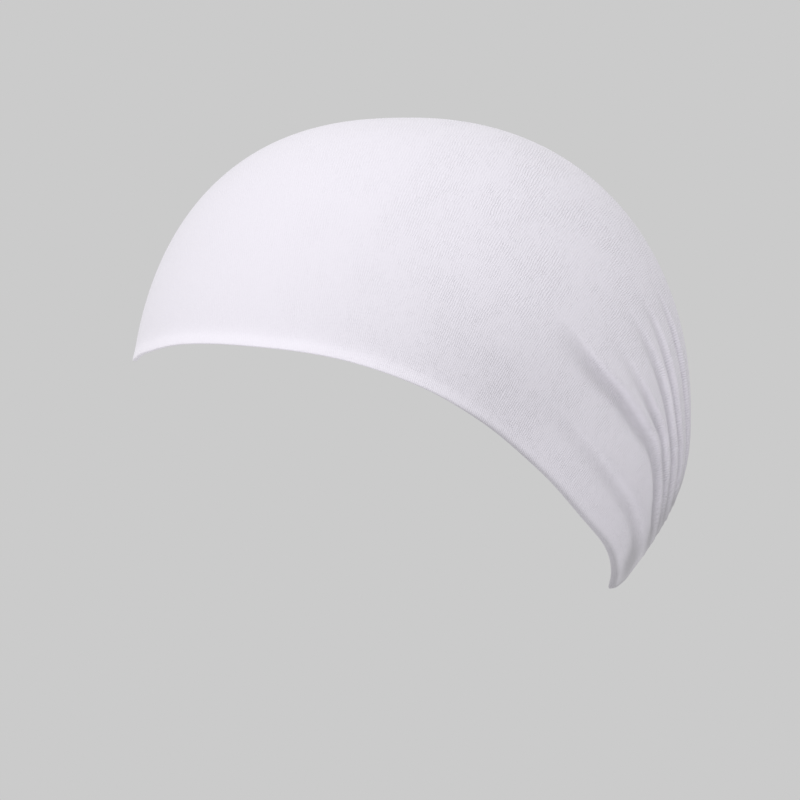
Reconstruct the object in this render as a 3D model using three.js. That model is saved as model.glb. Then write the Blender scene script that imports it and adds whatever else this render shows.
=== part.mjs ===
// Hijab underscarf cap of stretch jersey, as it sits on a head.
// Millimetres, +Z up, the face towards -Y and the wearer's left towards +X.
// The origin is the inner top of the crown, where the cap rests on the head.
// Angles run round the head from the middle of the forehead (0) to the nape (180).
// Depths are measured straight down from the outer top of the crown.

import * as THREE from "three";

// Driving dimensions of the head form, outside the cloth
const headWidth = 156;
const frontReach = 91;
const backReach = 98.5;
const widestDepth = 106.5;
const napeDepth = 157.5;
const forwardLean = 4.4;

// Cloth and hem
const wall = 1.6;
const hemHeight = 3;
const hemThickness = 2.2;
const seamGap = 0.3;

// Gathers at the nape: half the gathered stretch, how far its foot lies above the hem,
// the size of the strongest fold, the share of its width left at its foot, the share of its rise
// over which it fades out, and the angles between which the flat flank turns into gathered cloth
const gatherHalfWidth = 20;
const gatherRise = 8;
const foldHeight = 2.8;
const foldWidth = 8;
const foldNarrowing = 0.35;
const foldFading = 0.7;
const flatUntilAngle = 90;
const gatheredFromAngle = 120;

// Colour and finish of the cloth
const clothColour = new THREE.Color(0.9, 0.89, 0.92);
const clothRoughness = 0.92;

// Fineness of the mesh
const sectors = 80;
const rings = 26;
const crowdAtNape = 0.45;
const crowdAtTop = 1.4;
const hemSides = 8;

// Roundness of each side of the head form: how full its upper curve is (2 is an ellipse),
// and how far it tucks in again below the widest depth
const sides = {
  front: { fullness: 2.47, tuck: 0.11 },
  back: { fullness: 2.15, tuck: 0.97 },
  flank: { fullness: 2.25, tuck: 0.52 },
};

// The hem's depth round the head, as a share of the nape depth
const hemLine = [
  { angle: 0, depth: 0.521 },
  { angle: 20, depth: 0.499 },
  { angle: 38, depth: 0.479 },
  { angle: 58, depth: 0.481 },
  { angle: 78, depth: 0.505 },
  { angle: 95, depth: 0.561 },
  { angle: 108, depth: 0.637 },
  { angle: 120, depth: 0.733 },
  { angle: 133, depth: 0.836 },
  { angle: 146, depth: 0.909 },
  { angle: 157, depth: 0.966 },
  { angle: 166, depth: 1 },
  { angle: 180, depth: 0.98 },
];

// Folds of one side, mirrored on the other, as seen from behind. Each runs up from its foot
// in the gathered stretch at the nape to the top where it has faded out.
// across: share of the half width, at the top; depth: share of the nape depth, at the top;
// foot: share of the gathered half width; bend: how early the fold turns upright (1 is straight);
// front and back: widths of the fold's two flanks, as shares of the fold width;
// height: share of the fold height, negative for a valley
const folds = [
  { across: 0.87, depth: 0.6, foot: 1.3, bend: 1.3, front: 0.9, back: 0.8, height: -0.35 },
  { across: 0.47, depth: 0.86, foot: 1, bend: 1, front: 0.8, back: 0.5, height: -0.4 },
  { across: 0.78, depth: 0.67, foot: 0.7, bend: 1, front: 0.7, back: 1, height: 0.5 },
  { across: 0.74, depth: 0.61, foot: 0.65, bend: 1.1, front: 0.6, back: 0.8, height: 0.4 },
  { across: 0.73, depth: 0.46, foot: 0.6, bend: 1.5, front: 1.1, back: 0.7, height: -0.7 },
  { across: 0.7, depth: 0.44, foot: 0.5, bend: 1.3, front: 0.6, back: 1.1, height: 1 },
  { across: 0.54, depth: 0.4, foot: 0.4, bend: 2, front: 0.6, back: 0.9, height: 0.8 },
  { across: 0.42, depth: 0.38, foot: 0.3, bend: 2.4, front: 0.5, back: 0.8, height: 0.65 },
  { across: 0.29, depth: 0.34, foot: 0.2, bend: 3.5, front: 0.5, back: 0.7, height: 0.5 },
  { across: 0.15, depth: 0.45, foot: 0.1, bend: 3, front: 0.5, back: 0.6, height: 0.35 },
];

// A value of a table at an angle from 0 to 180, smooth and flat at both ends
function readTable(table, angle, column) {
  const a = Math.abs(angle);
  const last = table.length - 1;
  let i = 0;
  while (i < last - 1 && a > table[i + 1].angle) i += 1;
  const slope = (k) => {
    if (k === 0 || k === last) return 0;
    const before = table[k - 1];
    const after = table[k + 1];
    return (after[column] - before[column]) / (after.angle - before.angle);
  };
  const span = table[i + 1].angle - table[i].angle;
  const t = (a - table[i].angle) / span;
  const bend = t * t * (3 - 2 * t);
  const lead = t * (1 - t) * (1 - t);
  const trail = t * t * (t - 1);
  const rise = table[i + 1][column] - table[i][column];
  return table[i][column] + bend * rise + span * (lead * slope(i) + trail * slope(i + 1));
}

// 0 below the low value, 1 above the high one, smooth between
function ramp(value, low, high) {
  const t = THREE.MathUtils.clamp((value - low) / (high - low), 0, 1);
  return t * t * (3 - 2 * t);
}

// Share of a side's full reach at a depth share: a rounded crown, then a tuck below it
function profile(side, share) {
  const up = THREE.MathUtils.clamp(share, 0, 1);
  const below = Math.max(share - 1, 0);
  const crown = (1 - (1 - up) ** side.fullness) ** (1 / side.fullness);
  return crown * (1 - side.tuck * below ** 2);
}

// Depth of the hem's edge at an angle in degrees
function hemDepth(angle) {
  return napeDepth * readTable(hemLine, angle, "depth");
}

// How far the gathers push the cloth out at a place seen from behind
function gather(across, depth) {
  const footDepth = napeDepth - gatherRise;
  const up = footDepth - depth;
  let push = 0;
  for (const fold of folds) {
    const foot = fold.foot * gatherHalfWidth;
    const rise = footDepth - fold.depth * napeDepth;
    const spread = (fold.across * headWidth) / 2 - foot;
    const left = 1 - Math.min(up / rise, 1);
    const line = foot + spread * (1 - left ** fold.bend);
    const lean = (spread * fold.bend * left ** (fold.bend - 1)) / rise;
    const aside = (Math.abs(across) - line) / Math.hypot(1, lean);
    const flank = aside > 0 ? fold.front : fold.back;
    const width = flank * foldWidth * (foldNarrowing + Math.max(up, 0) / footDepth);
    const start = ramp(up, 0, gatherHalfWidth);
    const end = ramp(left, 0, foldFading);
    push += foldHeight * fold.height * start * end * Math.exp(-((aside / width) ** 2));
  }
  return push;
}

// A point of the cloth at an angle and depth; inset is 0 outside and the wall's thickness inside
function clothPoint(angle, depth, inset) {
  const turn = THREE.MathUtils.degToRad(angle);
  const share = (depth - inset) / (widestDepth - inset);
  const front = (frontReach - inset) * profile(sides.front, share);
  const back = (backReach - inset) * profile(sides.back, share);
  const half = (headWidth / 2 - inset) * profile(sides.flank, share);
  const reach = (front + back) / 2 + ((front - back) / 2) * Math.cos(turn);
  const normal = new THREE.Vector2(Math.sin(turn) * reach, -Math.cos(turn) * half).normalize();
  const behind = ramp(Math.abs(angle), flatUntilAngle, gatheredFromAngle);
  const push = behind * gather(half * Math.sin(turn), depth);
  return new THREE.Vector3(
    half * Math.sin(turn) + push * normal.x,
    -reach * Math.cos(turn) - (forwardLean * (depth - wall)) / widestDepth + push * normal.y,
    wall - depth,
  );
}

// Depth that lies a given distance up the cloth from the hem's edge, square to the edge
function depthAboveHem(angle, distance) {
  const step = 0.5;
  const a = clothPoint(angle - step, hemDepth(angle - step), wall / 2);
  const b = clothPoint(angle + step, hemDepth(angle + step), wall / 2);
  const level = Math.hypot(b.x - a.x, b.y - a.y);
  return hemDepth(angle) - distance * Math.hypot(1, (b.z - a.z) / level);
}

// Angles of the sectors, closer together towards the nape
const angles = Array.from({ length: sectors }, (_, i) => {
  const t = (2 * i) / sectors - 1;
  return 180 * (t + (crowdAtNape * Math.sin(Math.PI * t)) / Math.PI);
});

// Geometry from rows of points that close on themselves round the head,
// with a single point at either end where one is given
function skin(rows, topPoint, endPoint) {
  const points = rows.flat();
  const faces = [];
  const at = (row, i) => row * sectors + (i % sectors);
  for (let row = 0; row < rows.length - 1; row += 1) {
    for (let i = 0; i < sectors; i += 1) {
      faces.push(at(row, i), at(row + 1, i), at(row + 1, i + 1));
      faces.push(at(row, i), at(row + 1, i + 1), at(row, i + 1));
    }
  }
  if (topPoint) {
    const top = points.push(topPoint) - 1;
    for (let i = 0; i < sectors; i += 1) faces.push(top, at(0, i), at(0, i + 1));
  }
  if (endPoint) {
    const end = points.push(endPoint) - 1;
    const row = rows.length - 1;
    for (let i = 0; i < sectors; i += 1) faces.push(end, at(row, i + 1), at(row, i));
  }
  const geometry = new THREE.BufferGeometry().setFromPoints(points);
  geometry.setIndex(faces);
  geometry.computeVertexNormals();
  return geometry;
}

// The crown: outer cloth from the top down to the seam, round its edge, and back up inside
function crownGeometry() {
  const ring = (share, inset) =>
    angles.map((angle) => {
      const rim = depthAboveHem(angle, hemHeight + seamGap);
      return clothPoint(angle, inset + (rim - inset) * share ** crowdAtTop, inset);
    });
  const shares = Array.from({ length: rings }, (_, i) => (i + 1) / rings);
  const outer = shares.map((share) => ring(share, 0));
  const inner = shares.map((share) => ring(share, wall)).reverse();
  const top = clothPoint(0, 0, 0);
  const innerTop = clothPoint(0, wall, wall);
  return skin([...outer, ...inner], top, innerTop);
}

// The hem: a soft rolled edge of oval section that closes on itself round the opening
function hemGeometry() {
  const rows = Array.from({ length: hemSides + 1 }, (_, side) => {
    const turn = (2 * Math.PI * side) / hemSides;
    return angles.map((angle) => {
      const rise = (hemHeight / 2) * (1 + Math.cos(turn));
      const depth = depthAboveHem(angle, rise);
      const inset = wall / 2 - (hemThickness / 2) * Math.sin(turn);
      return clothPoint(angle, depth, inset);
    });
  });
  return skin(rows);
}

function clothMesh(name, geometry) {
  const material = new THREE.MeshStandardMaterial({
    color: clothColour,
    roughness: clothRoughness,
    metalness: 0,
  });
  const mesh = new THREE.Mesh(geometry, material);
  mesh.name = name;
  return mesh;
}

const group = new THREE.Group();
group.add(clothMesh("crown", crownGeometry()));
group.add(clothMesh("face_hem", hemGeometry()));

export default group;
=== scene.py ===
"""The dressed hijab underscarf cap: its jersey crown and rolled hem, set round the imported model.

Metres, +Z up, the face towards -Y and the wearer's left towards +X. The origin is the inner top
of the crown. Angles run round the head from the middle of the forehead (0) to the nape (pi),
negative on the wearer's right, and depths are measured straight down from the outer top of the
crown. A span holds the two values between which something comes or goes.
"""

from __future__ import annotations

import logging
from dataclasses import dataclass
from enum import Enum

import bpy
import numpy as np
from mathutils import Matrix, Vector


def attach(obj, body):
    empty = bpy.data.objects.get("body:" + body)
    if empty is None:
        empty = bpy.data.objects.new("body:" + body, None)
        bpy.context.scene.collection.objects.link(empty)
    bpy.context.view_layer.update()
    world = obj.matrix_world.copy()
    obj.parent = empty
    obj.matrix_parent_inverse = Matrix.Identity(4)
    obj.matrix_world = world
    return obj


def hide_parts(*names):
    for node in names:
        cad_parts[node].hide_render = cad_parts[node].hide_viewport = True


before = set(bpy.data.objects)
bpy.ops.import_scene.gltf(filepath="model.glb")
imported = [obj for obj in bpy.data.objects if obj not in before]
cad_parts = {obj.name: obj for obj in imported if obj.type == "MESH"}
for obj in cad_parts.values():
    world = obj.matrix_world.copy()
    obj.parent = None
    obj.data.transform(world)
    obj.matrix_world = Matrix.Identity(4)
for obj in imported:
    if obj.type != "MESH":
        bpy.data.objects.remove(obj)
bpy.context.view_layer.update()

log = logging.getLogger("underscarf_cap")

Array = np.ndarray
Pair = tuple[float, float]
Span = tuple[float, float]
Colour = tuple[float, float, float, float]


def ramp(value: Array, low: float, high: float) -> Array:
    """Smooth step: 3t^2 - 2t^3 of the share t of the way from low to high.

    Args:
        value: The values to grade.
        low: Where the step begins.
        high: Where the step is done.

    Returns:
        0 below low, 1 above high and a smooth rise between.
    """
    share = np.clip((value - low) / (high - low), 0.0, 1.0)
    return share * share * (3.0 - 2.0 * share)


def bell(value: Array, width: Array | float) -> Array:
    """Bell curve exp(-(value / width)^2)."""
    return np.exp(-((value / width) ** 2))


def degrees_round(angle: Array) -> Array:
    """Degrees from the middle of the forehead, the same on either side."""
    return np.degrees(np.abs(angle))


def hermite(share: Array, start: Array, end: Array, lead: Array, trail: Array) -> Array:
    """Cubic from start to end: 3s^2 - 2s^3 of the change, s(1 - s)^2 lead and s^2(s - 1) trail.

    Args:
        share: Shares s of the way.
        start: Values where the cubic starts.
        end: Values where it ends.
        lead: Slopes at the start, for the whole way.
        trail: Slopes at the end, for the whole way.

    Returns:
        The values on the way.
    """
    bend = share * share * (3.0 - 2.0 * share)
    ends = share * (1.0 - share) ** 2 * lead + share * share * (share - 1.0) * trail
    return start + bend * (end - start) + ends


@dataclass(frozen=True)
class Side:
    """Roundness of one side of the head form: its upper fullness and how far it tucks in below."""

    fullness: float
    tuck: float

    def profile(self, share: Array) -> Array:
        """Share of the side's full reach at a share of the widest depth.

        The upper part is a superellipse, (1 - (1 - u)^n)^(1/n). Below the widest depth the reach
        falls off with the square of the distance past it.

        Args:
            share: Depths as shares of the widest depth.

        Returns:
            Reaches as shares of the side's full reach.
        """
        upper = np.clip(share, 0.0, 1.0)
        below = np.clip(share - 1.0, 0.0, None)
        crown = (1.0 - (1.0 - upper) ** self.fullness) ** (1.0 / self.fullness)
        return crown * (1.0 - self.tuck * below**2)


@dataclass(frozen=True)
class Pleat:
    """One pleat of the gathers, by the crest line that it follows from its top to its foot.

    In front of the crest lies the crease. Besides its shape, the pleat paints shade where the
    cloth falls into the crease and a highlight along the crest. The widths are those at the top,
    and spans are shares of the way from the top to the foot.

    Attributes:
        path: Rows of an angle in degrees and a depth, from the top to the foot.
        rise: Depth of the crease.
        valley: Width of the side by which the cloth falls into the crease.
        lip: Width of the side by which it rises to the crest.
        crease_at: How far in front of the crest the crease lies.
        tone: Strength of the painted shade where the cloth falls into the crease.
        grow: Share of the way over which the pleat deepens from nothing.
        deepen: Share by which it is deeper again at its foot.
        crest: Swelling of the crest, as a share of the rise.
        narrowing: Share of the widths that is left at the foot.
        recess: How much stronger the painted shade gets towards the foot, over recess_span.
        opening: How much wider it gets there.
        crowding: Painted shade round the foot, where the pleats crowd together.
        foot_fade: Share of the painted shade that goes at the very foot, over fade_span.
        foot_ease: Share of the shape that goes towards the foot, over ease_span.
        end_span: Distances past the ends of the path between which the pleat dies away.
        fall_at: Place of the painted shade on the valley's side, as a share of the valley.
        fall_reach: Width of the painted shade, as a share of the valley.
        pale: Strength of the painted highlight along the crest.
        pale_at: How far behind the crest line the painted highlight lies.
        pale_reach: Width of the painted highlight, as a share of the lip.
        broad_at: How far behind the crest line the crowding's painted shade lies.
        broad_reach: Width of the crowding's painted shade.
        steps: Points along the crest line.
    """

    path: tuple[Pair, ...]
    rise: float
    valley: float
    lip: float
    crease_at: float
    tone: float
    grow: float = 0.4
    deepen: float = 0.0
    crest: float = 0.25
    narrowing: float = 0.55
    recess: float = 0.0
    recess_span: Span = (0.5, 0.78)
    opening: float = 0.0
    crowding: float = 0.85
    foot_fade: float = 0.6
    fade_span: Span = (0.82, 0.97)
    foot_ease: float = 0.8
    ease_span: Span = (0.6, 0.95)
    end_span: Span = (0.001, 0.004)
    fall_at: float = 0.6
    fall_reach: float = 0.75
    pale: float = 0.85
    pale_at: float = 0.0002
    pale_reach: float = 0.32
    broad_at: float = 0.002
    broad_reach: float = 0.0055
    steps: int = 140

    def line(self) -> tuple[Array, Array]:
        """The crest line as angles in radians and depths, smooth through the rows.

        Each span is a cubic whose end slopes are half the difference of the rows on either side.

        Returns:
            The angles and the depths at even steps of the rows' count.
        """
        rows = np.array(self.path, float)
        padded = np.vstack([2.0 * rows[0] - rows[1], rows, 2.0 * rows[-1] - rows[-2]])
        at = np.linspace(0.0, len(rows) - 1.0, self.steps)
        row = np.minimum(at.astype(int), len(rows) - 2)
        slope = (padded[2:] - padded[:-2]) / 2.0
        share = (at - row)[:, None]
        place = hermite(share, rows[row], rows[row + 1], slope[row], slope[row + 1])
        return np.radians(place[:, 0]), place[:, 1]

    def section(self, aside: Array, width: Array) -> Array:
        """Height of the pleat at a distance behind its crest line, for a rise of 1.

        The crease is -exp(-(u/w)^2) round its bottom, with the valley's width before it and the
        lip's behind it. The crest adds a low swelling of the lip's width.

        Args:
            aside: Signed distances behind the crest line.
            width: Scale of the widths at each place.

        Returns:
            Heights, negative in the crease.
        """
        past = aside + self.crease_at * width
        side = np.where(past < 0.0, self.valley, self.lip) * width
        swell = self.crest * bell(aside / width - 0.5 * self.lip, self.lip)
        return swell - bell(past, side)

    def painted_shading(self, aside: Array, width: Array, step: Array) -> Array:
        """Painted shade of the pleat at a distance behind its crest line.

        It is exp(-(u/w)^2) round the steepest place of the fall into the crease, stronger by the
        recess and wider by the opening at the foot, less a painted highlight along the crest. A
        broad share of it, which grows with the square of the way down, paints shade on the cloth
        where the pleats crowd together.

        Args:
            aside: Signed distances behind the crest line.
            width: Scale of the widths at each place.
            step: Shares of the way from the pleat's top to its foot.

        Returns:
            Painted shade, negative where a highlight is painted.
        """
        foot = ramp(step, *self.recess_span)
        wider = 1.0 + self.opening * foot
        middle = (self.crease_at + self.fall_at * self.valley) * wider
        fall = bell(aside / width + middle, self.fall_reach * self.valley * wider)
        pale = bell(aside / width - self.pale_at, self.pale_reach * self.lip)
        broad = bell(aside - self.broad_at, self.broad_reach) * step**2
        # painted shade where the cloth falls into the crease, less the painted highlight along the
        # crest
        dark = fall * (1.0 + self.recess * foot) - self.pale * pale
        left = 1.0 - self.foot_fade * ramp(step, *self.fade_span)
        return left * (self.tone * dark + self.crowding * broad)

    def effect(self, aside: Array, beyond: Array, step: Array) -> tuple[Array, Array]:
        """What the pleat adds to the push and the painted shade at places near it.

        Args:
            aside: Signed distances behind the crest line.
            beyond: Distances past the ends of the crest line, 0 beside it.
            step: Shares of the way from the pleat's top to its foot.

        Returns:
            The pushes and the painted shades.
        """
        width = 1.0 - (1.0 - self.narrowing) * step
        growth = ramp(step, 0.0, self.grow) * (1.0 + self.deepen * step**2)
        growth *= 1.0 - ramp(beyond, *self.end_span)
        held = 1.0 - self.foot_ease * ramp(step, *self.ease_span)
        push = self.rise * growth * held * self.section(aside, width)
        return push, growth * self.painted_shading(aside, width, step)


PLEATS: tuple[Pleat, ...] = (
    Pleat(
        path=((119.5, 0.0895), (126, 0.099), (133, 0.109), (141.5, 0.120), (149, 0.128),
              (155.5, 0.1345), (160.5, 0.1388), (166, 0.1428), (172, 0.147), (182, 0.1510)),
        rise=0.0024, valley=0.0038, lip=0.0030, crease_at=0.0016, tone=0.55, deepen=0.3,
        recess=2.9, opening=0.95, narrowing=0.9, foot_fade=0.4,
    ),
    Pleat(
        path=((125, 0.064), (130.5, 0.074), (135.7, 0.083), (141.3, 0.091), (147, 0.100),
              (152.4, 0.1075), (156, 0.115), (159, 0.123), (162, 0.1305), (167, 0.137),
              (173, 0.1415), (182.5, 0.1452)),
        rise=0.0034, valley=0.0050, lip=0.0022, crease_at=0.0019, tone=1.0, grow=0.22,
        recess=0.7, narrowing=0.42,
    ),
    Pleat(
        path=((137, 0.067), (142.5, 0.078), (147.5, 0.088), (151.5, 0.096), (155.5, 0.104),
              (158, 0.112), (161, 0.120), (164.5, 0.128), (169, 0.134), (174, 0.138),
              (182.5, 0.1412)),
        rise=0.0024, valley=0.0026, lip=0.0016, crease_at=0.0014, tone=1.05, deepen=0.4,
    ),
    Pleat(
        path=((143, 0.057), (149, 0.069), (153, 0.078), (157, 0.089), (160, 0.100),
              (162, 0.110), (165, 0.121), (169, 0.129), (174, 0.134), (182.5, 0.1380)),
        rise=0.0026, valley=0.0030, lip=0.0016, crease_at=0.0014, tone=1.15, deepen=0.3,
    ),
    Pleat(
        path=((150, 0.053), (154.5, 0.063), (158, 0.073), (160.8, 0.084), (163, 0.096),
              (165.5, 0.107), (168.5, 0.117), (172, 0.125), (176, 0.130), (182.5, 0.1340)),
        rise=0.0026, valley=0.0026, lip=0.0015, crease_at=0.0013, tone=1.15, deepen=0.2,
        crowding=1.2,
    ),
    Pleat(
        path=((160, 0.051), (165, 0.064), (168, 0.076), (170.5, 0.092), (172.8, 0.107),
              (176, 0.120), (182, 0.1285)),
        rise=0.0024, valley=0.0024, lip=0.0015, crease_at=0.0013, tone=0.95, deepen=0.1,
        crowding=1.6,
    ),
)


@dataclass(frozen=True)
class HemLine:
    """The hem's depth round the head: shares of the nape depth at angles in degrees."""

    angles: tuple[float, ...] = (0, 20, 38, 58, 78, 95, 108, 120, 133, 146, 157, 166, 180)
    depths: tuple[float, ...] = (
        0.521, 0.499, 0.479, 0.481, 0.505, 0.561, 0.637, 0.733, 0.836, 0.909, 0.966, 1.0, 0.98,
    )

    def depth_share(self, angle: Array) -> Array:
        """Share of the nape depth at angles round the head.

        Cubic Hermite spans between the rows, with each inner slope from the two neighbouring rows
        and a level line at the forehead and the nape.

        Args:
            angle: Angles in radians, either sign.

        Returns:
            Depths as shares of the nape depth.
        """
        at = np.array(self.angles, float)
        value = np.array(self.depths, float)
        slope = np.zeros_like(value)
        slope[1:-1] = (value[2:] - value[:-2]) / (at[2:] - at[:-2])
        degrees = degrees_round(angle)
        row = np.clip(np.searchsorted(at, degrees, side="right") - 1, 0, len(at) - 2)
        span = at[row + 1] - at[row]
        share = (degrees - at[row]) / span
        return hermite(share, value[row], value[row + 1], span * slope[row], span * slope[row + 1])


@dataclass(frozen=True)
class HemLift:
    """How much higher the right side's hem sits, and the degrees over which that comes and goes."""

    rise: float
    coming: Span
    going: Span

    def at(self, turned: Array) -> Array:
        """The lift at degrees turned to the wearer's right."""
        return self.rise * ramp(turned, *self.coming) * (1.0 - ramp(turned, *self.going))


@dataclass(frozen=True)
class PaintedShadePatch:
    """A patch of painted shade on the flank, in front of the gathers.

    Attributes:
        middle: Degrees round the head and depth of its middle.
        spread: Its reach in degrees and in depth.
        tone: Its painted shade in the middle.
    """

    middle: Pair = (112.0, 0.091)
    spread: Pair = (22.0, 0.024)
    tone: float = 0.42

    def painted_shading(self, degrees: Array, depth: Array) -> Array:
        """Painted shade as the product of a bell curve round the head and one down it."""
        across = bell(degrees - self.middle[0], self.spread[0])
        return self.tone * across * bell(depth - self.middle[1], self.spread[1])


@dataclass(frozen=True)
class PaintedHighlightBand:
    """A strip of painted highlight along the front and flank, just above the hem's edge.

    Attributes:
        tone: How much paler the painted highlight makes the cloth.
        height: Its height above the hem's edge.
        going: Degrees over which it goes.
    """

    tone: float = 0.45
    height: float = 0.0036
    going: Span = (95.0, 115.0)

    def painted_highlight(self, degrees: Array, above: Array) -> Array:
        """Painted highlight, full up to half the height above the hem's edge, and a bell curve past
        that.
        """
        over = np.maximum(above - 0.5 * self.height, 0.0)
        return self.tone * (1.0 - ramp(degrees, *self.going)) * bell(over, self.height)


@dataclass(frozen=True)
class HeadForm:
    """The cap's form as it sits on a head, outside the cloth.

    Attributes:
        half_width: Greatest reach to either side.
        front_reach: Greatest reach to the front.
        back_reach: Greatest reach to the back.
        widest_depth: Depth of those reaches.
        nape_depth: Depth of the hem's lowest place.
        forward_lean: How far the form has moved forward at the widest depth.
        wall: Thickness of the cloth.
        front, back, flank: Roundness of the sides.
        hem_line: The hem's depth round the head.
        lifts: Where the right side's hem sits higher.
        pleats: The pleats of one side.
        flat_until: Degrees round the head up to which there are no pleats.
        pleat_swell, pleat_depth: The most that the pleats push the cloth out, and in.
        crossing: How much lower the right side's pleats run at the middle of the back.
        crossing_span: Shares of the pleats' way over which they get lower.
        hem_reach: How far up the hem holds the cloth flatter.
        hem_flattening, hem_paling: Shares of the push and the painted shade that it takes away.
        middle_reach: Degrees from the middle of the back within which the pleats calm down.
        middle_calm: Share of the push that goes there.
        shade_patch: The patch of painted shade on the flank.
        band: The strip of painted highlight along the hem.
        slope_step: Half the angle over which the slope of the hem is taken.
    """

    half_width: float = 0.078
    front_reach: float = 0.091
    back_reach: float = 0.0985
    widest_depth: float = 0.1065
    nape_depth: float = 0.1575
    forward_lean: float = 0.0044
    wall: float = 0.0016
    front: Side = Side(2.47, 0.11)
    back: Side = Side(2.15, 0.97)
    flank: Side = Side(2.25, 0.52)
    hem_line: HemLine = HemLine()
    lifts: tuple[HemLift, ...] = (
        HemLift(0.0040, (115.0, 150.0), (160.0, 180.0)),
        HemLift(0.0019, (-4.0, 15.0), (40.0, 75.0)),
    )
    pleats: tuple[Pleat, ...] = PLEATS
    flat_until: float = 95.0
    pleat_swell: float = 0.0030
    pleat_depth: float = 0.0052
    crossing: float = 0.0019
    crossing_span: Span = (0.6, 1.0)
    hem_reach: float = 0.014
    hem_flattening: float = 0.6
    hem_paling: float = 0.3
    middle_reach: float = 5.0
    middle_calm: float = 0.55
    shade_patch: PaintedShadePatch = PaintedShadePatch()
    band: PaintedHighlightBand = PaintedHighlightBand()
    slope_step: float = np.radians(0.5)

    def hem_depth(self, angle: Array) -> Array:
        """Depth of the hem's edge at angles in radians, less deep where the right side lifts."""
        lift = sum(part.at(-np.degrees(angle)) for part in self.lifts)
        return self.nape_depth * self.hem_line.depth_share(angle) - lift

    def smooth_point(
        self, angle: Array, depth: Array, inset: Array | float
    ) -> tuple[Array, Array]:
        """Points of the head form without its pleats, and which way is out from each.

        In plan each section is an egg, x = b sin(angle), y = -a cos(angle), whose half length a
        passes smoothly from the front reach to the back reach.

        Args:
            angle: Angles round the head, in radians.
            depth: Depths below the outer top.
            inset: Distance in from the outer face of the cloth.

        Returns:
            The points and the level unit vectors square to the egg's edge, x, y, z last.
        """
        angle, depth = np.broadcast_arrays(angle, depth)
        share = (depth - inset) / (self.widest_depth - inset)
        front = (self.front_reach - inset) * self.front.profile(share)
        back = (self.back_reach - inset) * self.back.profile(share)
        half = (self.half_width - inset) * self.flank.profile(share)
        sine = np.sin(angle)
        cosine = np.cos(angle)
        reach = (front + back) / 2.0 + (front - back) / 2.0 * cosine
        lean = self.forward_lean * (depth - self.wall) / self.widest_depth
        place = np.stack([half * sine, -reach * cosine - lean, self.wall - depth], axis=-1)
        out = np.stack([sine * reach, -cosine * half, np.zeros_like(reach)], axis=-1)
        out /= np.maximum(np.linalg.norm(out, axis=-1, keepdims=True), 1e-9)
        return place, out

    def gather(self, place: Array) -> tuple[Array, Array]:
        """How far the pleats of both sides push the cloth out, and the shade that they paint on it.

        For each pleat the nearest point of its crest line is found, and the distance behind the
        crest is measured there, square to the line and along the cloth. At the middle of the
        back the right side's pleats run a crossing lower, in between the left side's ones.

        Args:
            place: Points of the smooth form, one row each.

        Returns:
            Outward pushes and painted shades, one of each for each point.
        """
        total = np.zeros((2, len(place)))
        for pleat in self.pleats:
            angle, depth = pleat.line()
            step = np.linspace(0.0, 1.0, pleat.steps)
            for side in (1.0, -1.0):
                lower = 0.0 if side > 0.0 else self.crossing * ramp(step, *self.crossing_span)
                line, out = self.smooth_point(side * angle, depth + lower, 0.0)
                tangent = np.gradient(line, axis=0)
                tangent /= np.linalg.norm(tangent, axis=1, keepdims=True)
                behind = np.cross(out, tangent) * side
                behind /= np.linalg.norm(behind, axis=1, keepdims=True)
                near = np.argmin(np.sum(line**2, axis=1) - 2.0 * place @ line.T, axis=1)
                offset = place - line[near]
                aside = np.sum(offset * behind[near], axis=1)
                beyond = np.abs(np.sum(offset * tangent[near], axis=1))
                total += pleat.effect(aside, beyond, step[near])
        return total[0], total[1]

    def folds(self, angle: Array, depth: Array) -> tuple[Array, Array]:
        """How far the cloth is pushed out at each place, and the shade painted on it there.

        The push is eased to its limit on either side as L tanh(push / L), and loses a share of
        itself towards the hem, which holds the cloth flatter, and at the middle of the back,
        where the pleats of both sides run into one another. Shade is painted on a patch of the
        flank, and a highlight is painted in a strip along the front and flank just above the hem.

        Args:
            angle: Angles round the head, in radians.
            depth: Depths below the outer top.

        Returns:
            The pushes and the painted shades, negative where a highlight is painted.
        """
        angle, depth = np.broadcast_arrays(angle, depth)
        degrees = degrees_round(angle)
        above = self.hem_depth(angle) - depth
        outer, _ = self.smooth_point(angle, depth, 0.0)
        pleated = degrees > self.flat_until
        push = np.zeros(angle.shape)
        painted_shade = np.zeros(angle.shape)
        push[pleated], painted_shade[pleated] = self.gather(outer[pleated])
        limit = np.where(push > 0.0, self.pleat_swell, self.pleat_depth)
        push = limit * np.tanh(push / limit)
        near_hem = 1.0 - ramp(above, 0.0, self.hem_reach)
        push *= 1.0 - self.hem_flattening * near_hem
        push *= 1.0 - self.middle_calm * bell(180.0 - degrees, self.middle_reach)
        # near the hem a share of the pleats' painted shade is taken away
        painted_shade *= 1.0 - self.hem_paling * near_hem
        # painted shade on the flank's patch, less the painted highlight along the hem
        painted_shade += self.shade_patch.painted_shading(degrees, depth) - self.band.painted_highlight(degrees, above)
        return push, painted_shade

    def point(self, angle: Array, depth: Array, inset: Array | float) -> Array:
        """Points of the cloth with its pleats.

        Args:
            angle: Angles round the head, in radians.
            depth: Depths below the outer top.
            inset: Distance in from the outer face of the cloth.

        Returns:
            An array of points whose last axis is x, y, z.
        """
        place, out = self.smooth_point(angle, depth, inset)
        push, _ = self.folds(angle, depth)
        return place + push[..., None] * out

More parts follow.
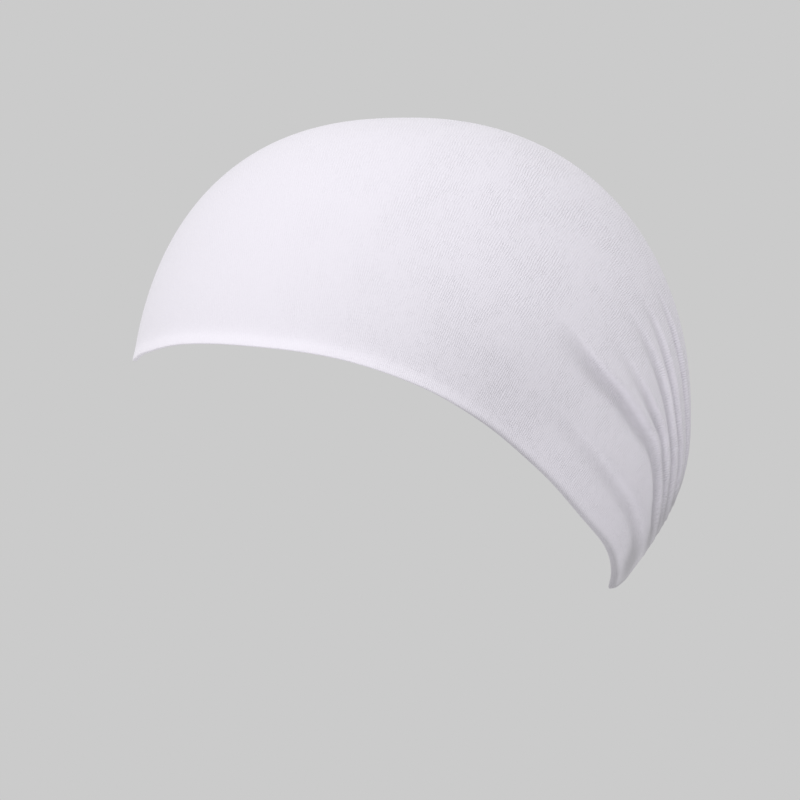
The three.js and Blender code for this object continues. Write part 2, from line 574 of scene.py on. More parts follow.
    def depth_above_hem(self, angle: Array, distance: Array | float) -> Array:
        """Depth that lies a distance up the cloth from the hem's edge, square to the edge.

        The straight-down distance is the square one times the length of the hem's slope,
        sqrt(1 + (dz/ds)^2).

        Args:
            angle: Angles in radians.
            distance: Distances up from the edge.

        Returns:
            Depths below the outer top.
        """
        ends = (angle - self.slope_step, angle + self.slope_step)
        before, after = (self.smooth_point(e, self.hem_depth(e), self.wall / 2.0)[0] for e in ends)
        change = after - before
        level = np.hypot(change[..., 0], change[..., 1])
        return self.hem_depth(angle) - distance * np.hypot(1.0, change[..., 2] / level)


def ring_faces(rows: int, sectors: int) -> Array:
    """Quads of a grid whose rows close on themselves.

    Args:
        rows: Number of rows of points.
        sectors: Points in each row.

    Returns:
        An array of quads, each as four point indices.
    """
    row, sector = np.meshgrid(np.arange(rows - 1), np.arange(sectors), indexing="ij")
    after = (sector + 1) % sectors
    corners = [row * sectors + sector, (row + 1) * sectors + sector]
    corners += [(row + 1) * sectors + after, row * sectors + after]
    return np.stack(corners, axis=-1).reshape(-1, 4)


def fan_faces(centre: int, row_start: int, sectors: int, reverse: bool) -> Array:
    """Triangles from a pole to a row of points.

    Args:
        centre: Index of the pole.
        row_start: Index of the row's first point.
        sectors: Points in the row.
        reverse: Whether the fan faces the other way.

    Returns:
        An array of triangles.
    """
    here = row_start + np.arange(sectors)
    after = row_start + (np.arange(sectors) + 1) % sectors
    pole = np.full(sectors, centre)
    order = (pole, after, here) if reverse else (pole, here, after)
    return np.stack(order, axis=-1)


def read_rows(grid: Array, at: Array) -> Array:
    """Reads a grid between its rows, in a straight line from the row below to the one above.

    Args:
        grid: The grid, its rows on the first axis.
        at: Places as row numbers and shares of the way to the next one.

    Returns:
        A row for each place.
    """
    low = np.minimum(at.astype(int), len(grid) - 2)
    part = (at - low).reshape(-1, *[1] * (grid.ndim - 1))
    return grid[low] + part * (grid[low + 1] - grid[low])


class WeaveFlow:
    """Lays the jersey's rib and course coordinates over a grid of points.

    The rib coordinate should grow a metre for each metre travelled along a wanted direction, and
    the course coordinate likewise at right angles to it. Both are the least-squares answer to
    those wishes on all the grid's edges, found by conjugate gradients.
    """

    def __init__(self, points: Array, pole: Array) -> None:
        """Keeps the grid and its edges.

        Args:
            points: Grid of points, rows by sectors by 3, whose rows close on themselves.
            pole: The point that closes the first row.
        """
        rows, sectors = points.shape[:2]
        index = np.arange(rows * sectors).reshape(rows, sectors)
        along = np.stack([index, np.roll(index, -1, axis=1)], axis=-1).reshape(-1, 2)
        down = np.stack([index[:-1], index[1:]], axis=-1).reshape(-1, 2)
        spokes = np.stack([index[0], np.full(sectors, rows * sectors)], axis=-1)
        self.shape = (rows, sectors)
        self.places = np.vstack([points.reshape(-1, 3), pole[None, :]])
        self.edges = np.vstack([along, down, spokes])
        self.span = self.places[self.edges[:, 1]] - self.places[self.edges[:, 0]]
        length = np.linalg.norm(self.span, axis=1)
        spacing_down = np.linalg.norm(np.diff(points, axis=0), axis=2)
        spacing_down = np.vstack([spacing_down[:1], spacing_down]).ravel()
        spacing_along = np.linalg.norm(points - np.roll(points, -1, axis=1), axis=2)
        across = [spacing_down, spacing_along[:-1].ravel(), spacing_along[0] / 2.0]
        self.weight = np.concatenate(across) / length

    def solve(self, wish: Array, rounds: int = 900, settled: float = 1e-16) -> Array:
        """The coordinate whose change along every edge comes closest to the wished one.

        Args:
            wish: The wanted gradient at each place, an array of 3-vectors.
            rounds: The most steps of conjugate gradients.
            settled: What is left of the squared error when the steps stop.

        Returns:
            The coordinate at each grid point, rows by sectors.
        """
        start, end = self.edges.T
        count = len(self.places)
        middle = (wish[start] + wish[end]) / 2.0
        target = np.einsum("ij,ij->i", middle, self.span) * self.weight

        def gather_up(flow: Array) -> Array:
            """Sum of the flows into each place less those out of it."""
            return np.bincount(end, flow, count) - np.bincount(start, flow, count)

        scale = np.bincount(start, self.weight, count) + np.bincount(end, self.weight, count)
        value = np.zeros(count)
        rest = gather_up(target)
        eased = rest / scale
        step = eased.copy()
        power = rest @ eased
        for _ in range(rounds):
            turned = gather_up(self.weight * (step[end] - step[start]))
            stride = power / (step @ turned)
            value += stride * step
            rest -= stride * turned
            eased = rest / scale
            fresh = rest @ eased
            if fresh < settled:
                break
            step = eased + (fresh / power) * step
            power = fresh
        return value[:-1].reshape(self.shape)


class Socket:
    """Wraps a node's output so that Python expressions on it add Math nodes."""

    def __init__(self, graph: Graph, output: bpy.types.NodeSocket) -> None:
        """Keeps the graph and the wrapped output."""
        self.graph = graph
        self.output = output

    def __add__(self, other: Socket | float) -> Socket:
        """Sum."""
        return self.graph.math("ADD", self, other)

    def __radd__(self, other: float) -> Socket:
        """Sum with a number on the left."""
        return self.graph.math("ADD", other, self)

    def __sub__(self, other: Socket | float) -> Socket:
        """Difference."""
        return self.graph.math("SUBTRACT", self, other)

    def __rsub__(self, other: float) -> Socket:
        """Difference from a number on the left."""
        return self.graph.math("SUBTRACT", other, self)

    def __mul__(self, other: Socket | float) -> Socket:
        """Product."""
        return self.graph.math("MULTIPLY", self, other)

    def __rmul__(self, other: float) -> Socket:
        """Product with a number on the left."""
        return self.graph.math("MULTIPLY", other, self)


class Graph:
    """A material's node tree, with one method for each kind of step."""

    def __init__(self, name: str) -> None:
        """Makes an empty material.

        Args:
            name: The material's name.
        """
        self.material = bpy.data.materials.new(name)
        self.material.use_nodes = True
        self.tree = self.material.node_tree
        self.tree.nodes.clear()

    def node(
        self, kind: str, settings: dict | None = None, inputs: dict | None = None
    ) -> bpy.types.Node:
        """Adds a node.

        Args:
            kind: The node's type name.
            settings: Its properties, set first.
            inputs: Its sockets by name or number, each a value, an output or a Socket.

        Returns:
            The node.
        """
        made = self.tree.nodes.new(kind)
        for key, value in (settings or {}).items():
            setattr(made, key, value)
        for key, value in (inputs or {}).items():
            self._feed(made.inputs[key], value)
        return made

    def _feed(self, socket: bpy.types.NodeSocket, value: object) -> None:
        """Links a socket to an output, or sets its value.

        Args:
            socket: The socket to feed.
            value: A Socket, an output or a plain value.
        """
        source = value.output if isinstance(value, Socket) else value
        if isinstance(source, bpy.types.NodeSocket):
            self.tree.links.new(source, socket)
        else:
            socket.default_value = source

    def math(self, operation: str, *values: Socket | float) -> Socket:
        """Adds a Math node of one operation on up to three values."""
        made = self.node("ShaderNodeMath", {"operation": operation}, dict(enumerate(values)))
        return Socket(self, made.outputs[0])

    def split(self, vector: bpy.types.NodeSocket) -> list[Socket]:
        """Adds a node that splits a vector, and returns its three numbers."""
        made = self.node("ShaderNodeSeparateXYZ", {}, {0: vector})
        return [Socket(self, output) for output in made.outputs]

    def graded(self, value: Socket, source: Span, result: Span) -> Socket:
        """A value taken from one range to another in a straight line, and held at its ends.

        Args:
            value: The value.
            source: The range that it comes from.
            result: The range that it is taken to.

        Returns:
            The new value.
        """
        inputs = {"Value": value, "From Min": source[0], "From Max": source[1]}
        inputs |= {"To Min": result[0], "To Max": result[1]}
        made = self.node("ShaderNodeMapRange", {"clamp": True}, inputs)
        return Socket(self, made.outputs[0])

    def mix_colour(self, factor: Socket, low: Colour, high: Colour) -> bpy.types.NodeSocket:
        """Adds a Mix node between two colours and returns its colour output."""
        made = self.node("ShaderNodeMix", {"data_type": "RGBA"}, {0: factor, 6: low, 7: high})
        return made.outputs[2]

    def noise(self, place: bpy.types.NodeSocket, scale: float, detail: float = 2.0) -> Socket:
        """Adds a Noise Texture.

        Args:
            place: Where it is read.
            scale: Its scale.
            detail: Its detail.

        Returns:
            Its factor.
        """
        inputs = {"Vector": place, "Scale": scale, "Detail": detail}
        made = self.node("ShaderNodeTexNoise", {}, inputs)
        return Socket(self, made.outputs["Fac"])

    def finish(self, inputs: dict) -> bpy.types.Material:
        """Ends the tree in a Principled shader.

        Args:
            inputs: What its sockets are fed, by name.

        Returns:
            The material.
        """
        shader = self.node("ShaderNodeBsdfPrincipled", {}, inputs)
        self.node("ShaderNodeOutputMaterial", {}, {"Surface": shader.outputs[0]})
        return self.material


class Weight(Enum):
    """How strongly the jersey's ribs show."""

    CROWN = 1.0
    HEM = 0.8


@dataclass(frozen=True)
class Jersey:
    """Finish of fine white jersey: its colours, its ribs and courses, and its soft nap.

    Attributes:
        name: The material's name.
        weight: How strongly the ribs stand out.
        high_colour, low_colour: Colours at the tones 1 and 0.
        rib_pitch, course_pitch: Distances from rib to rib, and from stitch to stitch along it.
        rib_relief, nap_relief: Heights of the ribs and of the nap.
        rib_share: Share of the ribs in the stitches, beside the courses.
        stitch_lean: How far each course leans into a V, in radians.
        bends: Noise scales and reaches of what bends the ribs.
        patch_scale, broken_scale: Noise scales of the larger and smaller breaks in the ribs.
        broken_range, broken_left: Noise between which they break up, and what is left of them.
        slack_range: The y between which the stretched cloth turns slack.
        stretched_left: What is left of the stitches over the forehead.
        fine_scale, cloud_scale: Noise scales of the nap and of the slow clouds.
        tone: The tone of smooth cloth.
        stitch_tone, cloud_tone, fine_tone, painted_crease_shade: How much each of them changes it,
        the last by the painted shade and highlight of the crease attribute.
        roughness, rough_change: Roughness of the cloth, and how much the nap changes it.
        sheen, sheen_roughness, specular: Settings of the shader.
    """

    name: str
    weight: Weight = Weight.CROWN
    high_colour: Colour = (0.930, 0.897, 0.977, 1.0)
    low_colour: Colour = (0.500, 0.483, 0.525, 1.0)
    rib_pitch: float = 0.00083
    course_pitch: float = 0.00120
    rib_relief: float = 0.00015
    nap_relief: float = 0.00006
    rib_share: float = 0.84
    stitch_lean: float = 3.0
    bends: tuple[Pair, ...] = ((110.0, 0.0016), (600.0, 0.0008))
    patch_scale: float = 60.0
    broken_scale: float = 420.0
    broken_range: Span = (0.38, 0.60)
    broken_left: float = 0.25
    slack_range: Span = (-0.045, 0.030)
    stretched_left: float = 0.30
    fine_scale: float = 2200.0
    cloud_scale: float = 18.0
    tone: float = 0.80
    stitch_tone: float = 0.15
    cloud_tone: float = 0.06
    fine_tone: float = 0.14
    painted_crease_shade: float = 0.41
    roughness: float = 0.88
    rough_change: float = 0.08
    sheen: float = 0.35
    sheen_roughness: float = 0.6
    specular: float = 0.2

    def build(self) -> bpy.types.Material:
        """Makes the material.

        The rib height is a cosine across the ribs, with the V of each stitch as a cosine along
        them whose phase leans with the distance from the rib's middle. Noise bends the ribs and
        breaks them up, and they lie flatter over the forehead, where the cloth is stretched. The
        colour goes between its two ends by the stitches, by slow clouds, by the nap and by the
        crease attribute, which paints shade into the folds and highlights along crests and the hem.

        Returns:
            The material.
        """
        graph = Graph(self.name)
        place = graph.node("ShaderNodeTexCoord").outputs["Object"]
        weave = graph.node("ShaderNodeUVMap", {"uv_map": "weave"}).outputs[0]
        # the crease attribute carries painted shade and painted highlight
        crease = graph.node("ShaderNodeAttribute", {"attribute_name": "crease"}).outputs["Fac"]
        across, along, _ = graph.split(weave)
        for scale, reach in self.bends:
            across = across + graph.noise(place, scale) * reach
        rib_turn = across * (2.0 * np.pi / self.rib_pitch)
        rib = graph.math("COSINE", rib_turn)
        lean = graph.math("ABSOLUTE", graph.math("SINE", rib_turn * 0.5))
        course_turn = along * (2.0 * np.pi / self.course_pitch) + lean * self.stitch_lean
        course = graph.math("COSINE", course_turn)
        fine = graph.noise(place, self.fine_scale, detail=3.0)
        patch = graph.noise(place, self.patch_scale, detail=3.0)
        mixed = (patch + graph.noise(place, self.broken_scale)) * 0.5
        strength = graph.graded(mixed, self.broken_range, (self.broken_left, 1.0))
        backward = graph.split(place)[1]
        slack = graph.graded(backward, self.slack_range, (self.stretched_left, 1.0))
        stitch = (rib * self.rib_share + course * (1.0 - self.rib_share)) * strength * slack
        relief = stitch * (0.5 * self.rib_relief * self.weight.value) + fine * self.nap_relief
        bump_inputs = {"Strength": 1.0, "Distance": 1.0, "Height": relief}
        bump = graph.node("ShaderNodeBump", {}, bump_inputs)
        cloud = graph.noise(place, self.cloud_scale)
        tone = self.tone + stitch * self.stitch_tone + (cloud - 0.5) * self.cloud_tone
        # painted shade and highlight from the crease attribute darken and lighten the colour
        tone = tone + (fine - 0.5) * self.fine_tone - Socket(graph, crease) * self.painted_crease_shade
        tone = graph.math("MINIMUM", graph.math("MAXIMUM", tone, 0.0), 1.0)
        shade = {
            "Base Color": graph.mix_colour(tone, self.low_colour, self.high_colour),
            "Roughness": self.roughness + (fine - 0.5) * self.rough_change,
            "Normal": bump.outputs[0],
            "Sheen Weight": self.sheen,
            "Sheen Roughness": self.sheen_roughness,
            "Specular IOR Level": self.specular,
        }
        return graph.finish(shade)


@dataclass
class ClothPiece:
    """A piece of the cap: its name, the node it stands for and the form that it follows."""

    form: HeadForm
    name: str
    node: str
    slot: str = "jersey"

    def dress(
        self, points: Array, faces: list, weave: Array, painted_shade: Array, finish: Jersey
    ) -> bpy.types.Object:
        """Makes the mesh and its object, lays the weave on it and ties it to the model.

        Args:
            points: The points.
            faces: Lists of point indices, faces outwards.
            weave: The rib and course coordinates of each point.
            painted_shade: Shade painted on the cloth at each point, negative where a highlight is
                painted.
            finish: The finish that the piece wears.

        Returns:
            The piece.
        """
        mesh = bpy.data.meshes.new(self.name)
        mesh.from_pydata(points, [], faces)
        corner = np.empty(len(mesh.loops), np.int64)
        mesh.loops.foreach_get("vertex_index", corner)
        layer = mesh.uv_layers.new(name="weave")
        layer.data.foreach_set("uv", weave[corner].astype(np.float32).ravel())
        # the crease attribute holds the painted shade, negative where a highlight is painted
        tone = mesh.attributes.new("crease", "FLOAT", "POINT")
        tone.data.foreach_set("value", painted_shade.astype(np.float32))
        mesh.polygons.foreach_set("use_smooth", np.ones(len(mesh.polygons), bool))
        mesh.materials.append(finish.build())
        mesh.update()
        piece = bpy.data.objects.new(self.name, mesh)
        bpy.context.scene.collection.objects.link(piece)
        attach(piece, "root")
        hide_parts(self.node)
        log.info("%s: %d points, %d faces", self.name, len(points), len(faces))
        return piece


@dataclass
class Crown(ClothPiece):
    """The jersey shell from the top of the head down to the hem, with its gathers.

    Attributes:
        sectors: Points in each ring.
        outer_rings, inner_rings: Rings of the outer and the inner face.
        inner_crowding: Power by which the inner rings lie closer together towards the rim.
        crowding: How many times closer together the sectors lie behind.
        crowding_span: Degrees round the head over which they close up.
        angle_samples: Samples of the density that spaces the sectors.
        top_ease: How close round the top the rings lie.
        rim_rise: How far above the hem's edge the rim lies.
        lining_reach: Sectors to either side that the lining keeps clear of.
        rim_span: Shares of the way down over which the lining joins the rim.
        front_tilt, back_tilt: How far the ribs' wish dips at the front and the back.
        tilt_span: The y over which that dip changes.
        least_wish: The least length by which a wish is scaled up to 1.
        coarse: Rings and sectors of the grid on which the weave is solved.
        rim_share: Share of the way down from which the hem's weave is carried on.
    """

    sectors: int = 500
    outer_rings: int = 150
    inner_rings: int = 40
    inner_crowding: float = 1.25
    crowding: float = 4.0
    crowding_span: Span = (95.0, 125.0)
    angle_samples: int = 2001
    top_ease: float = 0.15
    rim_rise: float = 0.0010
    lining_reach: int = 2
    rim_span: Span = (0.93, 0.975)
    front_tilt: float = 0.0
    back_tilt: float = np.radians(40.0)
    tilt_span: Span = (-0.060, 0.060)
    least_wish: float = 0.3
    coarse: tuple[int, int] = (60, 120)
    rim_share: float = 0.96

    def sector_angles(self, count: int) -> Array:
        """Angles of the sectors, even at the front and closer together behind.

        The angles divide into equal shares the area under a density that is 1 at the front and
        rises smoothly to the crowding behind.

        Args:
            count: Number of sectors.

        Returns:
            Angles in radians from -pi up to just under pi.
        """
        fine = np.linspace(0.0, np.pi, self.angle_samples)
        density = 1.0 + (self.crowding - 1.0) * ramp(np.degrees(fine), *self.crowding_span)
        total = np.concatenate([[0.0], np.cumsum((density[1:] + density[:-1]) / 2.0)])
        share = 2.0 * np.arange(count) / count - 1.0
        return np.sign(share) * np.interp(np.abs(share), total / total[-1], fine)

    def ring_depths(self, angles: Array, shares: Array, inset: float) -> Array:
        """Depths of rings on one face of the cloth.

        They go as sqrt(s^2 + q^2) - q of the rings' share s, so that the rings lie close round
        the top, where the form is nearly level, and evenly further down.

        Args:
            angles: The sectors' angles.
            shares: The rings' shares of the way from the top to the rim.
            inset: 0 for the outer face, the wall for the inner one.

        Returns:
            Depths, rings by sectors.
        """
        rim = self.form.depth_above_hem(angles, self.rim_rise)
        ease = self.top_ease
        down = (np.hypot(shares, ease) - ease) / (np.hypot(1.0, ease) - ease)
        return inset + (rim[None, :] - inset) * down[:, None]

    def outer_points(self, angles: Array, shares: Array) -> Array:
        """Grid of points on the outer face, rings by sectors by 3."""
        return self.form.point(angles[None, :], self.ring_depths(angles, shares, 0.0), 0.0)

    def lining(self, angles: Array, shares: Array, fine: Array, outer_push: Array) -> Array:
        """Grid of points on the inner face.

        It has fewer rings than the outer one, so between its rings it could come out through
        the cloth. Each point is pushed out by the least push of the outer face within a ring of
        it, and near the rim by the push at the point itself.

        Args:
            angles: The sectors' angles.
            shares: The inner rings' shares.
            fine: The outer rings' shares.
            outer_push: How far the folds push out the outer face, rings by sectors.

        Returns:
            Points, rings by sectors by 3.
        """
        near = range(-self.lining_reach, self.lining_reach + 1)
        least = np.min([np.roll(outer_push, step, axis=1) for step in near], axis=0)
        before = np.concatenate([[0.0], shares[:-1]])
        after = np.concatenate([shares[1:], [1.0]])
        first = np.searchsorted(fine, before, side="right") - 1
        last = np.searchsorted(fine, after, side="left") + 1
        spans = [slice(max(low, 0), high) for low, high in zip(first, last)]
        safe = np.stack([least[span].min(axis=0) for span in spans])
        depth = self.ring_depths(angles, shares, self.form.wall)
        exact, _ = self.form.folds(angles[None, :], depth)
        near_rim = ramp(shares, *self.rim_span)[:, None]
        push = exact * near_rim + safe * (1.0 - near_rim)
        place, out = self.form.smooth_point(angles[None, :], depth, self.form.wall)
        return place + push[..., None] * out

    def weave(self, angles: Array, shares: Array) -> Array:
        """Rib and course coordinates on the outer face.

        They are solved on a coarse grid of the same spacing and read between its points. The
        ribs should run square to a direction that is level at the forehead and dips towards the
        back, where the cloth is pulled down to the nape.

        Args:
            angles: The sectors' angles.
            shares: The rings' shares.

        Returns:
            Coordinates in metres, rings by sectors by 2.
        """
        rings, sectors = self.coarse
        coarse_angles = self.sector_angles(sectors)
        coarse_shares = (np.arange(rings) + 1.0) / rings
        points = self.outer_points(coarse_angles, coarse_shares)
        pole = self.form.point(np.zeros(1), np.zeros(1), 0.0)[0]
        flow = WeaveFlow(points, pole)
        ahead = np.roll(points, -1, axis=1) - np.roll(points, 1, axis=1)
        normal = np.cross(np.gradient(points, axis=0), ahead)
        normal /= np.linalg.norm(normal, axis=2, keepdims=True)
        dip = (self.back_tilt - self.front_tilt) * ramp(points[..., 1], *self.tilt_span)
        tilt = self.front_tilt + dip
        wish = np.stack([np.zeros_like(tilt), np.cos(tilt), -np.sin(tilt)], axis=-1)
        wish -= np.sum(wish * normal, axis=2, keepdims=True) * normal
        wish /= np.maximum(np.linalg.norm(wish, axis=2, keepdims=True), self.least_wish)
        found = []
        for wanted in (wish, np.cross(wish, normal)):
            at_pole = wanted[0].mean(axis=0)
            found.append(flow.solve(np.vstack([wanted.reshape(-1, 3), at_pole[None, :]])))
        row = np.interp(shares, coarse_shares, np.arange(rings))
        column = np.interp(angles, np.append(coarse_angles, np.pi), np.arange(sectors + 1))
        grid = np.stack(found, axis=-1)
        grid = np.concatenate([grid, grid[:, :1]], axis=1)
        across = read_rows(grid.swapaxes(0, 1), column)
        return read_rows(across.swapaxes(0, 1), row)

    def build(self) -> bpy.types.Object:
        """Builds the crown: the outer face, the rim and the inner face as one closed shell.

        Returns:
            The piece.
        """
        angles = self.sector_angles(self.sectors)
        outer_shares = (np.arange(self.outer_rings) + 1.0) / self.outer_rings
        inner_left = 1.0 - (np.arange(self.inner_rings) + 1.0) / self.inner_rings
        inner_shares = 1.0 - inner_left**self.inner_crowding
        wall = self.form.wall
        depth = self.ring_depths(angles, outer_shares, 0.0)
        place, out = self.form.smooth_point(angles[None, :], depth, 0.0)
        push, painted_shade = self.form.folds(angles[None, :], depth)
        outer = place + push[..., None] * out
        inner = self.lining(angles, inner_shares, outer_shares, push)[::-1]
        rows = np.concatenate([outer, inner])
        top = self.form.point(np.zeros(1), np.zeros(1), 0.0)
        inner_top = self.form.point(np.zeros(1), np.full(1, wall), wall)
        points = np.vstack([rows.reshape(-1, 3), top, inner_top])
        count = len(rows) * self.sectors
        faces = ring_faces(len(rows), self.sectors).tolist()
        faces += fan_faces(count, 0, self.sectors, reverse=False).tolist()
        faces += fan_faces(count + 1, count - self.sectors, self.sectors, reverse=True).tolist()
        weave = self.weave(angles, np.concatenate([outer_shares, inner_shares[::-1]]))
        at_top = weave[0].mean(axis=0)
        weave = np.vstack([weave.reshape(-1, 2), at_top, at_top])
        # painted shade of the folds on the outer face, none on the inner face and the poles
        painted_shade = np.concatenate([painted_shade.ravel(), np.zeros(len(points) - painted_shade.size)])
        return self.dress(points, faces, weave, painted_shade, Jersey("crown_jersey"))

    def rim_weave(self, angles: Array) -> tuple[Array, Array]:
        """The weave's coordinates at the rim, and their change for each metre down from it.

        Args:
            angles: The sectors' angles.

        Returns:
            Two arrays, sectors by 2.
        """
        shares = np.array([self.rim_share, 1.0])
        upper, lower = self.weave(angles, shares)
        above, rim = self.outer_points(angles, shares)
        run = np.linalg.norm(rim - above, axis=1)
        return lower, (lower - upper) / run[:, None]


@dataclass
class FaceHem(ClothPiece):
    """The turned edge that wraps the crown's rim and closes on itself round the opening.

    Attributes:
        height: Height of the turned cloth.
        bulge: How far the bend stands out past the cloth on either side.
        bend_rise, inner_rise: Heights of the bend's outer and inner quarter.
        slot_rise: How far above the edge the slot for the crown's rim ends.
        lip: How far the turned cloth stands clear of the crown at its top.
        clearance: Gap between the slot and the crown.
        last_share: Share of the faces' height at which their last fine step begins.
        round_steps, face_steps: Points round the bend and up either face.
        painted_bend_shade: Painted shade on the bend's underside.
        shade_rise: The height that its reaches are shares of.
        front_reach: How far up it reaches at the front.
        flank_reach, nape_reach: How much further up it reaches from the flank and at the nape.
        nape_shade: By what share it is stronger at the nape.
        shade_span, flank_span, nape_span: Degrees round the head over which each comes.
    """

    height: float = 0.0042
    bulge: float = 0.00026
    bend_rise: float = 0.0004
    inner_rise: float = 0.0019
    slot_rise: float = 0.0008
    lip: float = 0.00001
    clearance: float = 0.000005
    last_share: float = 0.985
    round_steps: int = 11
    face_steps: int = 9
    painted_bend_shade: float = 1.3
    shade_rise: float = 0.0008
    front_reach: float = 0.6
    flank_reach: float = 0.7
    nape_reach: float = 0.5
    nape_shade: float = 0.5
    shade_span: Span = (80.0, 112.0)
    flank_span: Span = (92.0, 112.0)
    nape_span: Span = (135.0, 165.0)

    def section(self) -> tuple[Array, Array]:
        """The hem's section as rises above its edge and insets from the outer face.

        It is a U that stands on its bend. Its outer line is a quarter ellipse on either side of
        the edge, the inner one taller, and a face on either side that swells by the bulge and
        dies away level with the cloth, as 3t^2 - 2t^3. Its inner line is the slot that holds
        the crown's rim.

        Returns:
            The rises and the insets, in order round the section.
        """
        wall = self.form.wall
        half = wall / 2.0
        turn = np.linspace(0.0, np.pi, self.round_steps)
        reach = np.where(turn < 0.5 * np.pi, self.bend_rise, self.inner_rise)
        bend_rise = reach * (1.0 - np.sin(turn))
        bend_inset = half - (half + self.bulge) * np.cos(turn)
        share = np.append(np.arange(1.0, self.face_steps) / self.face_steps, [self.last_share, 1.0])
        outer_face = self.bend_rise + (self.height - self.bend_rise) * share
        inner_face = self.inner_rise + (self.height - self.inner_rise) * share
        face_out = self.bulge * (1.0 - ramp(share, 0.0, 1.0)) + self.lip
        slot_rise = [self.height, self.slot_rise, self.slot_rise, self.height]
        slot_inset = [wall + self.clearance] * 2 + [-self.clearance] * 2
        rise = np.concatenate([outer_face[::-1], bend_rise, inner_face, slot_rise])
        inset = np.concatenate([-face_out[::-1], bend_inset, wall + face_out, slot_inset])
        return rise, inset

    def painted_shading(self, angles: Array, rise: Array) -> Array:
        """Painted shade on the bend's underside, a bell curve of the rise above the edge.

        Args:
            angles: Angles round the head, in radians.
            rise: Rises above the hem's edge.

        Returns:
            Painted shades, rises by angles.
        """
        degrees = degrees_round(angles)
        flank = ramp(degrees, *self.flank_span)
        nape = ramp(degrees, *self.nape_span)
        reach = self.front_reach + self.flank_reach * flank + self.nape_reach * nape
        strength = self.painted_bend_shade * (1.0 + self.nape_shade * nape) * ramp(degrees, *self.shade_span)
        return strength * bell(rise, self.shade_rise * reach)

    def build(self, crown: Crown) -> bpy.types.Object:
        """Builds the hem: its section carried round the hem's line, with the crown's weave.

        Args:
            crown: The crown whose rim it wraps and whose weave it carries on.

        Returns:
            The piece.
        """
        angles = crown.sector_angles(crown.sectors)
        wide = angles[None, :]
        rise, inset = self.section()
        run = np.cumsum(np.hypot(np.diff(rise), np.diff(inset)))
        down = np.concatenate([[0.0], run]) + crown.rim_rise - self.height
        depth = self.form.depth_above_hem(wide, rise[:, None])
        points = self.form.point(wide, depth, inset[:, None]).reshape(-1, 3)
        _, painted_shade = self.form.folds(wide, depth)
        # painted shade under the bend, added to that of the folds
        painted_shade += self.painted_shading(wide, rise[:, None])
        faces = (ring_faces(len(rise) + 1, crown.sectors) % len(points)).tolist()
        rim, change = crown.rim_weave(angles)
        weave = rim[None, :, :] + down[:, None, None] * change[None, :, :]
        finish = Jersey("hem_jersey", Weight.HEM)
        return self.dress(points, faces, weave.reshape(-1, 2), painted_shade.ravel(), finish)


def add_aimed(
    name: str, data: bpy.types.ID, place: Vector | tuple[float, float, float], aim: Vector
) -> bpy.types.Object:
    """Adds a light or a camera that points at something.

    Args:
        name: The object's name.
        data: The light's or the camera's data.
        place: Where it stands.
        aim: What it points at.

    Returns:
        The object.
    """
    made = bpy.data.objects.new(name, data)
    made.location = place
    made.rotation_mode = "QUATERNION"
    made.rotation_quaternion = (aim - made.location).to_track_quat("-Z", "Y")
    bpy.context.scene.collection.objects.link(made)
    return made


@dataclass(frozen=True)
class Lamp:
    """One square soft light: where it hangs, its side in metres and its watts."""

    name: str
    place: tuple[float, float, float]
    size: float
    power: float

    def hang(self, aim: Vector) -> None:
        """Adds the light to the scene, unseen by the camera.

        Args:
            aim: What it points at.
        """
        data = bpy.data.lights.new(self.name, "AREA")
        data.shape = "SQUARE"
        data.size = self.size
        data.energy = self.power
        add_aimed(self.name, data, self.place, aim).visible_camera = False


LAMPS: tuple[Lamp, ...] = (
    Lamp("key", (1.15, -0.86, 1.24), 3.0, 27.5),
    Lamp("fill", (1.25, -0.35, -1.35), 2.4, 3.0),
    Lamp("top", (0.50, 1.10, 1.50), 2.0, 4.0),
)


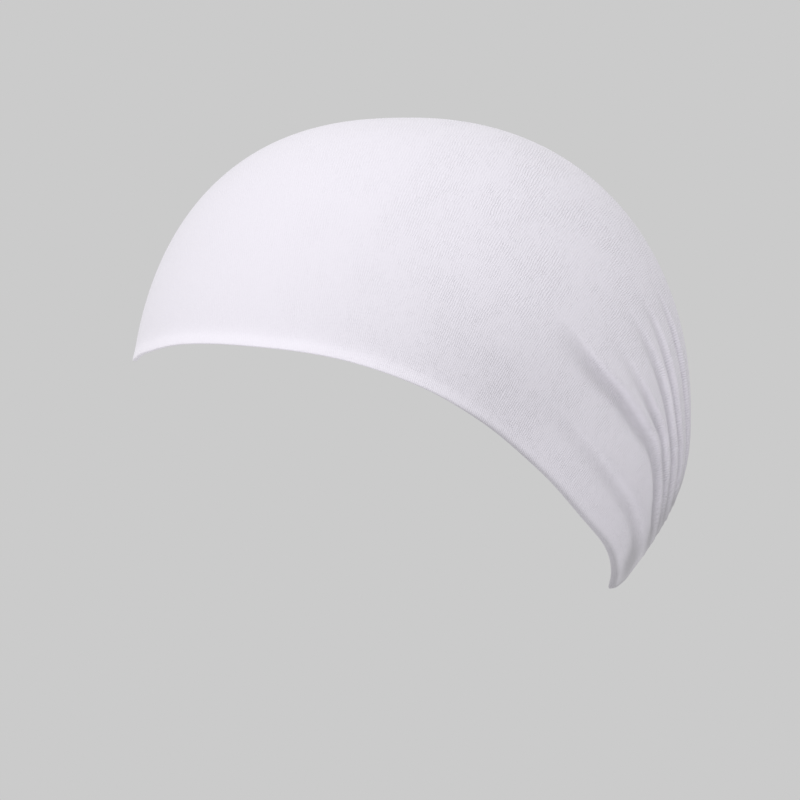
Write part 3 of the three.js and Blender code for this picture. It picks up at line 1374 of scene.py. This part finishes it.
@dataclass
class Studio:
    """The plain pale floor, the soft lights and the camera at the photo's angle.

    Attributes:
        azimuth, elevation: Where the camera stands, in radians.
        distance: How far it stands from its target.
        pixels_per_metre, image_size: Scale at the target and side of the picture, in pixels.
        aim_pixel: Where in the picture the target lies.
        aim_depth: Depth of the target below the outer top.
        sensor: The camera's sensor width in millimetres.
        floor_level, floor_radius, floor_sides: Height, radius and corners of the floor.
        backdrop_grey, floor_grey: Greys of the backdrop and the floor.
        mottle, mottle_scale: Share by which noise changes the floor's grey, and its scale.
        lamps: The lights.
    """

    azimuth: float = np.radians(91.5)
    elevation: float = np.radians(1.2)
    distance: float = 2.4
    pixels_per_metre: float = 2972.0
    image_size: float = 800.0
    aim_pixel: Pair = (410.6, 355.6)
    aim_depth: float = 0.080
    sensor: float = 36.0
    floor_level: float = -1.7
    floor_radius: float = 8.0
    floor_sides: int = 96
    backdrop_grey: float = 0.597
    floor_grey: float = 0.85
    mottle: float = 0.015
    mottle_scale: float = 3.0
    lamps: tuple[Lamp, ...] = LAMPS

    def directions(self) -> tuple[Vector, Vector, Vector]:
        """The camera's right, up and back directions, each a unit vector.

        Returns:
            The three directions.
        """
        sine, cosine = np.sin(self.azimuth), np.cos(self.azimuth)
        level = np.cos(self.elevation)
        back = Vector((sine * level, -cosine * level, np.sin(self.elevation)))
        right = Vector((cosine, sine, 0.0))
        return right, back.cross(right), back

    def place_camera(self, top: float) -> None:
        """Makes the camera, aimed so that the cap lies in the frame where the photo has it.

        Args:
            top: Height of the crown's outer top.
        """
        right, up, back = self.directions()
        target = Vector((0.0, 0.0, top - self.aim_depth))
        half = self.image_size / 2.0
        aim = target + right * ((half - self.aim_pixel[0]) / self.pixels_per_metre)
        aim += up * ((self.aim_pixel[1] - half) / self.pixels_per_metre)
        data = bpy.data.cameras.new("camera")
        data.sensor_width = self.sensor
        data.lens = self.pixels_per_metre * self.distance * self.sensor / self.image_size
        place = target + back * self.distance
        bpy.context.scene.camera = add_aimed("camera", data, place, aim)

    def lay_floor(self) -> None:
        """Makes the round pale floor well below the cap, as one face of many corners."""
        turn = 2.0 * np.pi * np.arange(self.floor_sides) / self.floor_sides
        level = np.full(self.floor_sides, self.floor_level)
        reach = self.floor_radius
        rim = np.stack([np.cos(turn) * reach, np.sin(turn) * reach, level], axis=-1)
        mesh = bpy.data.meshes.new("floor")
        mesh.from_pydata(rim, [], [list(range(self.floor_sides))])
        graph = Graph("floor_paint")
        place = graph.node("ShaderNodeTexCoord").outputs["Object"]
        low = (self.floor_grey * (1.0 - self.mottle),) * 3 + (1.0,)
        high = (self.floor_grey * (1.0 + self.mottle),) * 3 + (1.0,)
        colour = graph.mix_colour(graph.noise(place, self.mottle_scale), low, high)
        paint = {"Base Color": colour, "Roughness": 0.9, "Specular IOR Level": 0.1}
        mesh.materials.append(graph.finish(paint))
        floor = bpy.data.objects.new("floor", mesh)
        bpy.context.scene.collection.objects.link(floor)

    def build(self, top: float) -> None:
        """Sets up the camera, floor, backdrop and lights.

        Args:
            top: Height of the crown's outer top.
        """
        self.place_camera(top)
        self.lay_floor()
        world = bpy.data.worlds.new("backdrop")
        world.use_nodes = True
        shade = world.node_tree.nodes["Background"]
        shade.inputs[0].default_value = (self.backdrop_grey,) * 3 + (1.0,)
        bpy.context.scene.world = world
        bpy.context.scene.view_settings.view_transform = "Standard"
        aim = Vector((0.0, 0.0, -self.aim_depth))
        for lamp in self.lamps:
            lamp.hang(aim)


def main() -> None:
    """Builds the crown, the hem and the studio in order."""
    logging.basicConfig(level=logging.INFO, format="%(name)s: %(message)s")
    form = HeadForm()
    crown = Crown(form, "crown_cloth", "crown")
    shell = crown.build()
    hem = FaceHem(form, "hem_roll", "face_hem").build(crown)
    Studio().build(form.wall)


if __name__ == "__main__":
    main()
